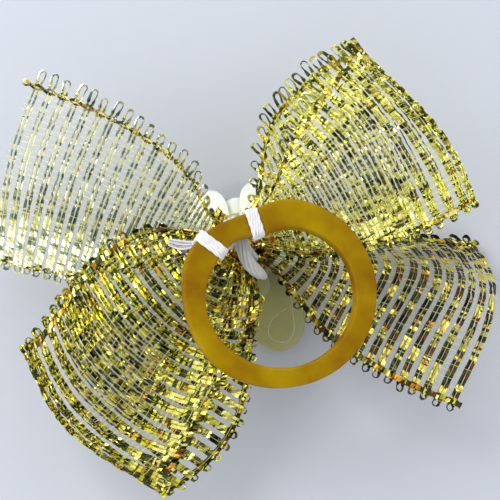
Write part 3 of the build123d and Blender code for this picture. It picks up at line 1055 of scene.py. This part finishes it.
LOWER_RIGHT = Lobe(
    Body.LOWER_RIGHT, -19.0,
    [
        [(1.4, -0.8, 6.0), (1.5, -0.3, 6.2), (1.6, 0.1, 6.3), (1.6, 0.4, 6.2), (1.6, 0.7, 6.0)],
        [(3.5, -1.4, 6.2), (3.9, -0.8, 6.3), (4.2, -0.1, 6.4), (4.1, 0.5, 6.1), (3.8, 0.9, 5.6)],
        [(5.3, -2.6, 6.4), (5.9, -1.4, 6.4), (6.3, 0.0, 6.6), (6.1, 0.7, 5.7), (5.6, 1.2, 4.4)],
        [(8.0, -4.5, 6.6), (8.4, -2.2, 6.4), (8.7, 0.3, 6.7), (8.4, 1.4, 5.3), (7.6, 2.1, 3.0)],
        [(11.0, -5.8, 6.6), (11.6, -2.2, 6.2), (12.1, 1.4, 6.7), (11.7, 2.6, 4.6), (10.3, 3.4, 2.0)],
        [(14.2, -6.5, 6.5), (14.8, -2.3, 6.0), (15.4, 2.0, 6.4), (14.9, 3.5, 4.1), (13.2, 4.6, 1.5)],
        [(17.5, -7.0, 6.3), (18.1, -2.4, 5.7), (18.6, 2.4, 6.0), (17.8, 4.2, 3.6), (15.9, 5.5, 1.2)],
        [(21.4, -7.2, 6.0), (22.1, -2.5, 5.3), (21.9, 1.9, 5.4), (21.0, 4.4, 3.4), (18.8, 6.2, 1.2)],
    ],
    ["tail_lower_right_ribbon", "tail_lower_right_selvages"], "gathered", is_loop=False, seed=41,
    pleats=4.5, pleat_height=1.3, pleat_reach=3.0, ragged=0.04, tape_roll=0.0,
    leans=(0.45, 0.6, 0.35), right_picots=(0.35, 0.65), left_picots=(0.7, 0.8),
    # Film and tapes painted darker.
    tape_film="painted_shaded_tape_film", tape_sway=0.05, tape_lift=0.13,
    weave=Weave(tape_width=0.46, tape_swing=0.08), film="painted_shaded_film",
)


# -------------------------------------------------------------------- gathered centre
@dataclass
class Gather:
    """Pinched ribbon under the thread: a bundle with sharp pleats that flares at its ends."""

    name: str
    node: str
    headings: tuple[float, float]
    middle: float
    half_height: float
    waist: float = 1.15
    flare: float = 1.9
    flare_power: float = 1.6
    reach: float = 2.7
    pleats: int = 11
    points_per_pleat: int = 8
    pleat_depth: float = 0.16     # as a share of the bundle's width
    crumple: float = 0.035
    section_gap: float = 0.16
    seed: int = 5

    def build(self, finishes: Finishes) -> None:
        """Makes the bundle, which stands for the gathered part of two lobes.

        Args:
            finishes: the materials.
        """
        mesh = PieceMesh(self.seed)
        far, near = (level_heading(angle) * self.reach for angle in self.headings)
        line = smooth_route([tuple(near), (0.0, 0.0, 0.0), tuple(far)], self.section_gap)
        sideways = np.cross(UP, unit(np.gradient(line, axis=0)))
        spread = np.abs(np.linspace(-1, 1, len(line))) ** self.flare_power
        width = self.waist + (self.flare - self.waist) * spread
        angles = np.linspace(0, 2 * math.pi, self.pleats * self.points_per_pleat, endpoint=False)
        fold = 1 + self.pleat_depth * np.abs(np.sin(angles * self.pleats / 2))[None] \
            + mesh.random.normal(0, self.crumple, (len(line), len(angles)))
        out = sideways[:, None] * (np.cos(angles)[None] * fold * width[:, None])[..., None]
        rise = UP * self.half_height * (np.sin(angles)[None] * fold)[..., None]
        centre = PINCH + line + UP * self.middle
        mesh.loft(centre[:, None] + out + rise)
        finished(mesh, self.name, finishes.crushed, Slot.MESH, Body.CENTRE, self.node,
                 smooth=False)


# ------------------------------------------------------------------------------ thread
@dataclass(frozen=True)
class Strand:
    """A few plies that twist round each other."""

    plies: int = 3
    ply_share: float = 0.52       # a ply's radius as a share of the strand's
    plump: float = 1.08           # how far neighbouring plies swell into each other
    lay: float = 1.5              # length of one turn of the twist
    sides: int = 8

    def twist(self, mesh: PieceMesh, line: np.ndarray, radius: float | np.ndarray,
              turns: float | None = None) -> None:
        """Lays the strand along a line.

        Args:
            mesh: the piece that the strand goes into.
            line: the strand's middle.
            radius: the strand's radius, along its line or all the same.
            turns: number of twists, or None for the strand's own lay.
        """
        first, second = carried_sides(line)
        run = np.concatenate([[0.0], np.cumsum(np.linalg.norm(np.diff(line, axis=0), axis=1))])
        size = np.broadcast_to(np.asarray(radius, float), (len(line),))
        count = turns if turns is not None else run[-1] / self.lay
        for ply in range(self.plies):
            angle = 2 * math.pi * (count * run / run[-1] + ply / self.plies)
            offset = first * np.cos(angle)[:, None] + second * np.sin(angle)[:, None]
            mesh.tube(line + offset * (size * (1 - self.ply_share))[:, None],
                      size * self.ply_share * self.plump, self.sides)


@dataclass
class Binding:
    """White thread that gathers the ribbon, with the strand, knot and ends that it leaves."""

    strand: Strand = field(default_factory=Strand)
    heading: float = 118.0
    turns: int = 3
    turn_radius: float = 0.27
    turn_pitch: float = 0.34
    turn_wander: float = 0.07
    turn_points: int = 97
    bundle_width: float = 1.85
    bundle_low: float = 4.75
    bundle_high: float = 8.55
    bundle_squareness: float = 0.7
    strand_heading: float = 38.0
    strand_half: float = 1.9
    strand_shift: float = 0.2     # towards the band, from the middle of its node
    strand_radius: float = 0.32
    strand_points: int = 40
    knot_shift: Point = (-1.3, 0.6, -0.6)
    knot_size: float = 0.2
    knot_radius: float = 0.17
    knot_wide: float = 1.6
    knot_tall: float = 0.9
    knot_points: int = 72
    soft_end: Sequence[Point] = (
        (-0.1, 0.1, 9.1), (0.2, -0.8, 9.4), (0.6, -1.7, 9.2), (1.2, -2.4, 8.7), (2.0, -3.0, 7.6),
    )
    soft_radius: float = 0.5
    soft_swell: float = 0.08
    soft_taper: float = 0.6
    soft_taper_points: int = 10
    soft_turns: float = 0.5
    soft_gap: float = 0.1
    soft_strands: Sequence[tuple[Strand, float]] = (
        (Strand(plies=9, ply_share=0.3), 0.95), (Strand(plies=4, ply_share=0.4), 2 / 3),
    )
    leaf_root: Point = (-2.2, -0.6, 9.0)
    leaves: Sequence[Sequence[Point]] = (
        ((-3.5, -0.35, 8.9), (-4.7, -0.35, 8.5), (-5.9, -0.1, 7.9)),
        ((-3.6, -0.7, 8.7), (-5.0, -0.95, 8.2), (-5.4, -1.9, 7.6)),
    )
    leaf_spread: Point = (0.1, 0.26, 0.2)
    leaf_hairs: int = 11
    hair_radius: float = 0.14
    hair_taper: float = 0.5
    hair_sides: int = 6
    hair_gap: float = 0.2

    def build(self, finishes: Finishes) -> None:
        """Winds the binding and lays the strand, the knot and the cut ends.

        Args:
            finishes: the materials.
        """
        self.wind_turns(finishes)
        self.lay_strand(finishes)
        self.tie_knot(finishes)
        self.lay_soft_end(finishes)
        self.splay_end(finishes)

    def wind_turns(self, finishes: Finishes) -> None:
        """Winds the turns round the bundle, over its top and under it.

        Args:
            finishes: the materials.
        """
        mesh = PieceMesh(61)
        over, beside = level_heading(self.heading), level_heading(self.heading - 90)
        middle = (self.bundle_low + self.bundle_high) / 2
        tall = (self.bundle_high - self.bundle_low) / 2 + self.turn_radius
        angles = np.linspace(0, 2 * math.pi, self.turn_points)
        shape = squared_round(angles, self.bundle_squareness)
        for turn in range(self.turns):
            aside = (turn - (self.turns - 1) / 2) * self.turn_pitch
            wander = self.turn_wander * np.sin(angles * 2 + turn)
            line = PINCH + over * shape[:, :1] * self.bundle_width \
                + beside * (aside + wander)[:, None] + UP * (middle + shape[:, 1:] * tall)
            self.strand.twist(mesh, line, self.turn_radius)
        finished(mesh, "centre_binding_turns", finishes.soft_thread, Slot.THREAD, Body.CENTRE,
                 "centre_binding")

    def lay_strand(self, finishes: Finishes) -> None:
        """Lays the strand between the two lashings, over the binding.

        Args:
            finishes: the materials.
        """
        mesh = PieceMesh(62)
        reach = np.linspace(-self.strand_half, self.strand_half, self.strand_points)
        line = node_middle("lashing_strand") + level_heading(self.strand_heading) * reach[:, None]
        line += level_heading(self.strand_heading + 90) * self.strand_shift
        self.strand.twist(mesh, line, self.strand_radius)
        finished(mesh, "lashing_strand_twist", finishes.thread, Slot.THREAD, Body.CENTRE,
                 "lashing_strand")

    def tie_knot(self, finishes: Finishes) -> None:
        """Ties a small overhand knot of crossed turns.

        Args:
            finishes: the materials.
        """
        mesh = PieceMesh(63)
        turn = np.linspace(0, 2 * math.pi, self.knot_points)
        trefoil = np.stack([np.sin(turn) + self.knot_wide * np.sin(2 * turn),
                            np.cos(turn) - self.knot_wide * np.cos(2 * turn),
                            -self.knot_tall * np.sin(3 * turn)], axis=1)
        line = node_middle("binding_knot") + self.knot_shift + trefoil * self.knot_size
        self.strand.twist(mesh, line, self.knot_radius)
        finished(mesh, "binding_knot_turns", finishes.thread, Slot.THREAD, Body.CENTRE,
                 "binding_knot")

    def lay_soft_end(self, finishes: Finishes) -> None:
        """Lays the thick soft end that hangs inside the band.

        Args:
            finishes: the materials.
        """
        mesh = PieceMesh(64)
        route = smooth_route(PINCH + np.array(self.soft_end), self.soft_gap)
        swell = self.soft_radius + self.soft_swell * np.sin(np.linspace(0, math.pi, len(route)))
        swell[-self.soft_taper_points:] *= np.linspace(1, self.soft_taper, self.soft_taper_points)
        for strand, share in self.soft_strands:
            strand.twist(mesh, route, swell * share, turns=self.soft_turns)
        finished(mesh, "thread_end_inside", finishes.soft_thread, Slot.THREAD, Body.CENTRE,
                 "thread_end_right")

    def splay_end(self, finishes: Finishes) -> None:
        """Splays the frayed end beside the band into two leaves of loose hairs.

        Args:
            finishes: the materials.
        """
        mesh = PieceMesh(65)
        for leaf in self.leaves:
            for _ in range(self.leaf_hairs):
                fan = mesh.random.normal(0, 1, 3)
                points = [(px, py + fan[0] * wide, pz + fan[1] * wide / 2)
                          for (px, py, pz), wide in zip(leaf, self.leaf_spread)]
                route = smooth_route(PINCH + np.array([self.leaf_root, *points]), self.hair_gap)
                thin = np.linspace(1, self.hair_taper, len(route))
                mesh.tube(route, self.hair_radius * thin, self.hair_sides)
        finished(mesh, "thread_end_splayed", finishes.soft_thread, Slot.THREAD, Body.CENTRE,
                 "thread_end_left")


# -------------------------------------------------------------------------- latex band
class Side(Enum):
    """The two lashings, with their angle from the band's tied point and their draws."""

    LEFT = ("left", 17.5, 72)
    RIGHT = ("right", -17.5, 73)

    def __init__(self, label: str, degrees: float, seed: int) -> None:
        """Keeps one lashing's values.

        Args:
            label: its name.
            degrees: its angle from the ring's tied point.
            seed: starts its piece's random draws.
        """
        self.label = label
        self.degrees = degrees
        self.seed = seed


@dataclass
class Band:
    """The latex ring cut from tube, pulled out of round by its two lashings."""

    height: float = 2.2
    tilt: float = 8.0
    tilt_heading: float = 38.0
    ties: float = 128.0
    shift: Point = (-0.22, 0.0, 0.0)
    sections: int = 288
    around: int = 40
    squareness: float = 0.225
    bite_spread: float = 4.6      # in degrees
    bite_down: float = 0.22
    bite_in: float = 0.12
    slow_wander: float = 0.03
    quick_wander: float = 0.02
    radii: Sequence[Point] = (      # heading, inner radius, outer radius
        (-40, 6.1, 7.75), (0, 6.1, 7.85), (60, 5.65, 7.8), (88, 5.2, 7.62), (109, 4.95, 7.1),
        (127, 5.45, 7.3), (145, 5.6, 7.95), (180, 6.05, 7.88), (225, 6.1, 7.82), (270, 6.0, 7.62),
        (320, 6.1, 7.75), (360, 6.1, 7.85), (400, 5.8, 7.83),
    )
    lashing: Strand = field(default_factory=lambda: Strand(lay=2.2))
    lashing_turns: int = 4
    lashing_radius: float = 0.2
    lashing_pitch: float = 0.22
    lashing_ease: Sequence[float] = (0.05, 0.02)      # beyond the wall, and above the ring
    lashing_squareness: float = 0.45
    lashing_points: int = 72
    lashing_slant: float = 0.12

    def __post_init__(self) -> None:
        """Reads where the ring stands from its node."""
        self.centre = node_middle("latex_band") + self.shift
        lean = math.radians(self.tilt)
        self.axis = level_heading(self.tilt_heading) * math.sin(lean) + UP * math.cos(lean)
        self.uphill = level_heading(self.ties)
        self.beside = np.cross(self.axis, self.uphill)

    def section(self, degrees: float) -> tuple[np.ndarray, np.ndarray, np.ndarray, float]:
        """Reads the ring at one angle.

        Args:
            degrees: angle from the ring's tied point.

        Returns:
            The middle of the section, its outward and running directions, and half its wall.
        """
        table = np.array(self.radii)
        heading = np.array([(degrees + self.ties) % 360])
        inner, outer = natural_spline(table[:, 0], table[:, 1:], heading)[0]
        turn = math.radians(degrees)
        out = self.uphill * math.cos(turn) + self.beside * math.sin(turn)
        middle = self.centre + out * (inner + outer) / 2
        return middle, out, np.cross(self.axis, out), (outer - inner) / 2

    def build(self, finishes: Finishes) -> None:
        """Makes the ring, and then the lashings that bite into it.

        Args:
            finishes: the materials.
        """
        rings = []
        round_section = np.arange(self.around) * 2 * math.pi / self.around
        shape = squared_round(round_section, self.squareness)
        for degrees in np.arange(self.sections) * 360 / self.sections:
            middle, out, _, half_wall = self.section(degrees)
            turn = (degrees + 180) % 360 - 180
            bite = sum(math.exp(-((turn - side.degrees) / self.bite_spread) ** 2) for side in Side)
            half_height = self.height / 2 - self.bite_down * bite \
                + self.slow_wander * math.sin(math.radians(degrees * 2 + 40)) \
                + self.quick_wander * math.sin(math.radians(degrees * 5))
            rings.append(middle + shape[:, :1] * (half_wall - self.bite_in * bite) * out
                         + shape[:, 1:] * half_height * self.axis)
        mesh = PieceMesh(71)
        mesh.loft(np.array(rings), closed=True)
        finished(mesh, "latex_band_ring", finishes.latex, Slot.LATEX, Body.BAND, "latex_band")
        for side in Side:
            self.lash(side, finishes)

    def lash(self, side: Side, finishes: Finishes) -> None:
        """Winds one lashing of satin thread round the ring.

        Args:
            side: which of the two lashings.
            finishes: the materials.
        """
        mesh = PieceMesh(side.seed)
        middle, out, running, half_wall = self.section(side.degrees)
        wide, high = self.lashing_ease
        angles = np.arange(self.lashing_points) * 2 * math.pi / self.lashing_points
        shape = squared_round(angles, self.lashing_squareness)
        shape = np.concatenate([shape, shape[:1]]) * (half_wall + wide, self.height / 2 + high)
        slant = np.linspace(-1, 1, len(shape))
        for turn in range(self.lashing_turns):
            aside = (turn - (self.lashing_turns - 1) / 2) * self.lashing_pitch
            aside = aside * (1 + self.lashing_slant * np.sin(slant * 5 + turn)) \
                + self.lashing_slant * slant
            line = middle + shape[:, :1] * out + shape[:, 1:] * self.axis \
                + running * aside[:, None]
            self.lashing.twist(mesh, line, self.lashing_radius)
        finished(mesh, f"band_lashing_{side.label}_turns", finishes.thread, Slot.THREAD, Body.BAND,
                 f"band_lashing_{side.label}")


# -------------------------------------------------------------------- flower ornament
@dataclass(frozen=True)
class PetalRow:
    """One row of the flower's petals."""

    name: str
    node: str
    turn: float
    reach: float
    half_width: float
    root_height: float
    tip_height: float
    count: int = 5


@dataclass
class Flower:
    """The frosted flower that is glued to the front, with two rows of cupped petals."""

    back: float = 3.7
    shell: float = 0.55
    root: float = 0.6             # where a petal starts, from the flower's middle
    neck: float = 0.3             # a petal's width at its root, as a share
    droop_power: float = 1.7
    belly_power: float = 1.25
    round_power: float = 0.55
    cup: float = 0.2475
    vein: float = 0.05
    vein_pitch: float = 7.0
    thinning: float = 0.45
    along: int = 26
    around: int = 28
    rows: Sequence[PetalRow] = (
        PetalRow("flower_petals_outer", "flower_outer_petals", -7.0, 5.4, 2.35, 3.3, 0.75),
        PetalRow("flower_petals_inner", "flower_inner_petals", 25.0, 3.7, 1.75, 2.6, 1.2),
    )

    def petal(self, mesh: PieceMesh, degrees: float, row: PetalRow) -> None:
        """Lofts one cupped petal from its root to its rounded tip.

        Args:
            mesh: the piece that the petal goes into.
            degrees: the petal's heading.
            row: the sizes of its row.
        """
        out, side = level_heading(degrees), level_heading(degrees + 90)
        along = np.linspace(0.0, 1.0, self.along)
        belly = np.sin(along ** self.belly_power * math.pi * 0.985) ** self.round_power
        broad = row.half_width * np.clip(belly * (self.neck + (1 - self.neck) * along), 0.03, None)
        spine = row.root_height + (row.tip_height - row.root_height) * along ** self.droop_power
        around = np.linspace(0, 2 * math.pi, self.around, endpoint=False)
        across = np.cos(around)[None] * broad[:, None]
        cup = -self.cup * across ** 2 / row.half_width
        vein = self.vein * np.cos(across * self.vein_pitch)
        thick = np.sin(around)[None] * self.shell / 2 * (1 - self.thinning * along[:, None])
        height = spine[:, None] + cup + vein + thick
        gone = self.root + along * (row.reach - self.root)
        place = PINCH + out * gone[:, None, None] + side * across[..., None]
        place[..., 2] = np.clip(height, 0.02, self.back)
        mesh.loft(place)

    def build(self, finishes: Finishes) -> None:
        """Makes both rows of petals, and dresses the bead.

        Args:
            finishes: the materials.
        """
        for row in self.rows:
            mesh = PieceMesh(81)
            for index in range(row.count):
                self.petal(mesh, row.turn + index * 360 / row.count, row)
            finished(mesh, row.name, finishes.plastic, Slot.PLASTIC, Body.CENTRE, row.node)
        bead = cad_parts["flower_bead"]
        bead.data.materials.clear()
        bead.data.materials.append(finishes.plastic)


@dataclass
class Glue:
    """Hot melt between the flower and the gather, the tongue it squeezed out, and its hair.

    The tongue's far end is a see-through olive sheet that paints the shade on the floor.
    """

    points: int = 64
    levels: int = 15
    squeeze: float = 0.28         # how far the pad's faces draw in from its bulging middle
    tongue_route: Sequence[Point] = (
        (0.9, 0.9, 4.3), (1.9, -0.9, 4.3), (2.7, -2.9, 3.3), (3.2, -4.9, 1.7), (3.2, -7.1, 0.5),
    )
    tongue_gap: float = 0.15
    tongue_root: float = 1.0      # half its width where it leaves the pad
    tongue_widening: float = 1.4
    tongue_widest: float = 0.7    # where it is widest, as a share of its length
    tongue_rounding: float = 0.66
    tongue_half_thickness: float = 0.22
    tongue_points: int = 24
    hair_route: Sequence[Point] = (
        (4.1, -1.7, 5.0), (4.3, -2.5, 4.6), (4.5, -4.2, 3.9), (4.5, -5.4, 3.4), (4.0, -6.1, 3.2),
        (3.1, -6.1, 3.2), (2.5, -5.7, 3.3), (2.4, -4.9, 3.6), (2.9, -4.0, 3.9), (3.9, -3.3, 4.4),
    )
    hair_radius: float = 0.035
    hair_gap: float = 0.12
    hair_sides: int = 6

    def build(self, finishes: Finishes) -> None:
        """Makes the squeezed pad, its tongue and its fine hair.

        Args:
            finishes: the materials.
        """
        self.squeeze_pad(finishes)
        self.draw_tongue(finishes)
        self.draw_hair(finishes)

    def squeeze_pad(self, finishes: Finishes) -> None:
        """Makes the pad, with an uneven bulging edge, to fill its node's box.

        Args:
            finishes: the materials.
        """
        low, high = (np.array(corner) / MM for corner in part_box("hot_melt_pad"))
        mesh = PieceMesh(91)
        angles = np.linspace(0, 2 * math.pi, self.points, endpoint=False)
        uneven = 1 + 0.08 * np.sin(3 * angles + 1) + 0.05 * np.sin(5 * angles)
        rings = []
        for level in np.linspace(-1, 1, self.levels):
            bulge = math.cos(level * math.pi / 2) ** 0.4 if abs(level) < 1 else 0.05
            ring = np.stack([np.cos(angles), np.sin(angles), np.full(self.points, level)], axis=1)
            ring = ring * (high - low) / 2
            ring[:, :2] *= (uneven * (1 - self.squeeze + self.squeeze * bulge))[:, None]
            rings.append(ring + (low + high) / 2)
        mesh.loft(np.array(rings))
        finished(mesh, "hot_melt_squeeze", finishes.glue, Slot.GLUE, Body.CENTRE, "hot_melt_pad")

    def draw_tongue(self, finishes: Finishes) -> None:
        """Makes the thin see-through tongue of glue that ran down from the pad; its far end, low
        on the floor, is a see-through olive sheet of painted shade.

        Args:
            finishes: the materials.
        """
        mesh = PieceMesh(93)
        route = smooth_route(self.tongue_route, self.tongue_gap)
        aside = unit(np.cross(np.gradient(route, axis=0), UP))
        around = np.linspace(0, 2 * math.pi, self.tongue_points, endpoint=False)
        gone = np.linspace(0, 1, len(route))
        tip = np.clip((gone - self.tongue_rounding) / (1.005 - self.tongue_rounding), 0, 1)
        widened = np.sin(np.minimum(gone / self.tongue_widest, 1) * math.pi / 2)
        half = (self.tongue_root + self.tongue_widening * widened) * np.sqrt(1 - tip ** 2)
        mesh.loft(route[:, None] + aside[:, None] * (half[:, None] * np.cos(around))[..., None]
                  + UP * self.tongue_half_thickness * np.sin(around)[None, :, None])
        finished(mesh, "hot_melt_tongue_and_painted_shade", finishes.glue_and_painted_shade_skin, Slot.GLUE, Body.CENTRE)

    def draw_hair(self, finishes: Finishes) -> None:
        """Makes the fine hair that the glue gun drew out into a loop.

        Args:
            finishes: the materials.
        """
        mesh = PieceMesh(92)
        mesh.tube(smooth_route(self.hair_route, self.hair_gap), self.hair_radius, self.hair_sides)
        finished(mesh, "hot_melt_hair", finishes.glue_string, Slot.GLUE, Body.CENTRE)


# ------------------------------------------------------------------------------ studio
@dataclass(frozen=True)
class Lamp:
    """A square area light that faces the bow."""

    name: str
    place: Point
    size: float
    power: float
    colour: Colour

    def hang(self) -> None:
        """Adds the light to the scene."""
        data = bpy.data.lights.new(self.name, "AREA")
        data.size = self.size * MM
        data.energy = self.power
        data.color = self.colour
        light = bpy.data.objects.new(self.name, data)
        light.location = Vector(self.place) * MM
        light.rotation_euler = (-Vector(self.place)).to_track_quat("-Z", "Y").to_euler()
        bpy.context.scene.collection.objects.link(light)


@dataclass
class Studio:
    """A pale floor, soft light from the upper left and a camera above the bow."""

    aim: Point = (0.82, 1.62, 7.0)
    distance: float = 170.0
    field_wide: float = 41.5      # how much of the floor the camera takes in
    sensor: float = 36.0
    floor_side: float = 3.0       # in metres
    floor_colour: Colour = (0.475, 0.505, 0.575)
    backdrop: Colour = (0.80, 0.83, 0.88)
    backdrop_strength: float = 0.9
    room_strength: float = 0.98
    room: Sequence[tuple[float, float]] = (     # height of the ray's direction, and brightness
        (0.0, 1.15), (0.45, 1.1), (0.86, 0.85), (0.94, 0.05),
    )
    lamps: Sequence[Lamp] = (
        Lamp("window", (-140.0, 150.0, 190.0), 120.0, 0.52, (1.0, 0.99, 0.97)),
        Lamp("side_window", (-210.0, -60.0, 90.0), 70.0, 0.12, (1.0, 1.0, 1.0)),
        Lamp("fill", (190.0, 40.0, 150.0), 90.0, 0.06, (0.93, 0.96, 1.0)),
        Lamp("low_fill", (105.0, -165.0, 165.0), 100.0, 0.08, (1.0, 1.0, 0.97)),
    )

    def build(self) -> None:
        """Sets the camera, the floor, the lights and the sky."""
        self.place_camera()
        self.lay_floor()
        for lamp in self.lamps:
            lamp.hang()
        self.light_sky()
        bpy.context.scene.view_settings.view_transform = "Standard"

    def place_camera(self) -> None:
        """Sets a camera straight over the bow."""
        data = bpy.data.cameras.new("camera")
        data.sensor_width = self.sensor
        data.lens = data.sensor_width * self.distance / self.field_wide
        data.clip_start = 0.01
        camera = bpy.data.objects.new("camera", data)
        camera.location = Vector(self.aim) * MM + Vector((0, 0, self.distance * MM))
        bpy.context.scene.collection.objects.link(camera)
        bpy.context.scene.camera = camera

    def lay_floor(self) -> None:
        """Lays a wide pale board under the bow."""
        bpy.ops.mesh.primitive_plane_add(size=self.floor_side, location=(0, 0, 0))
        floor = bpy.context.object
        floor.name = "floor"
        material, _, surface = new_surface("pale_board")
        surface.inputs["Base Color"].default_value = opaque(self.floor_colour)
        surface.inputs["Roughness"].default_value = 0.7
        floor.data.materials.append(material)

    def light_sky(self) -> None:
        """Lights a pale room, darker straight above, where the maker leans over the table."""
        world = bpy.data.worlds.new("room")
        bpy.context.scene.world = world
        world.use_nodes = True
        make = Shader(world.node_tree)
        away = make.add("TexCoord").outputs["Generated"]
        upward = make.add("SeparateXYZ", {0: away}).outputs[2]
        back = world.node_tree.nodes["Background"]
        plain = make.add("Background", {0: opaque(self.backdrop), 1: self.backdrop_strength})
        seen = make.add("LightPath").outputs["Is Camera Ray"]
        make.tree.links.new(make.ramp(upward, self.room), back.inputs[0])
        back.inputs[1].default_value = self.room_strength
        both = make.add("MixShader", {0: seen, 1: back.outputs[0], 2: plain.outputs[0]})
        make.tree.links.new(both.outputs[0], world.node_tree.nodes["World Output"].inputs[0])


def main() -> None:
    """Builds the studio and then the bow, piece by piece."""
    logging.basicConfig(level=logging.INFO, format="%(name)s: %(message)s")
    Studio().build()
    finishes = Finishes()
    Binding().build(finishes)
    for lobe in (UPPER_RIGHT, LOWER_LEFT, UPPER_LEFT, LOWER_RIGHT):
        lobe.build(finishes)
    Gather("loop_gather_pleats", "loop_gather", (32.0, 231.0), 7.35, 0.85).build(finishes)
    Gather("tail_gather_pleats", "tail_gather", (-19.0, 162.0), 5.6, 0.7, waist=0.95,
           seed=6).build(finishes)
    Band().build(finishes)
    Flower().build(finishes)
    Glue().build(finishes)


if __name__ == "__main__":
    main()
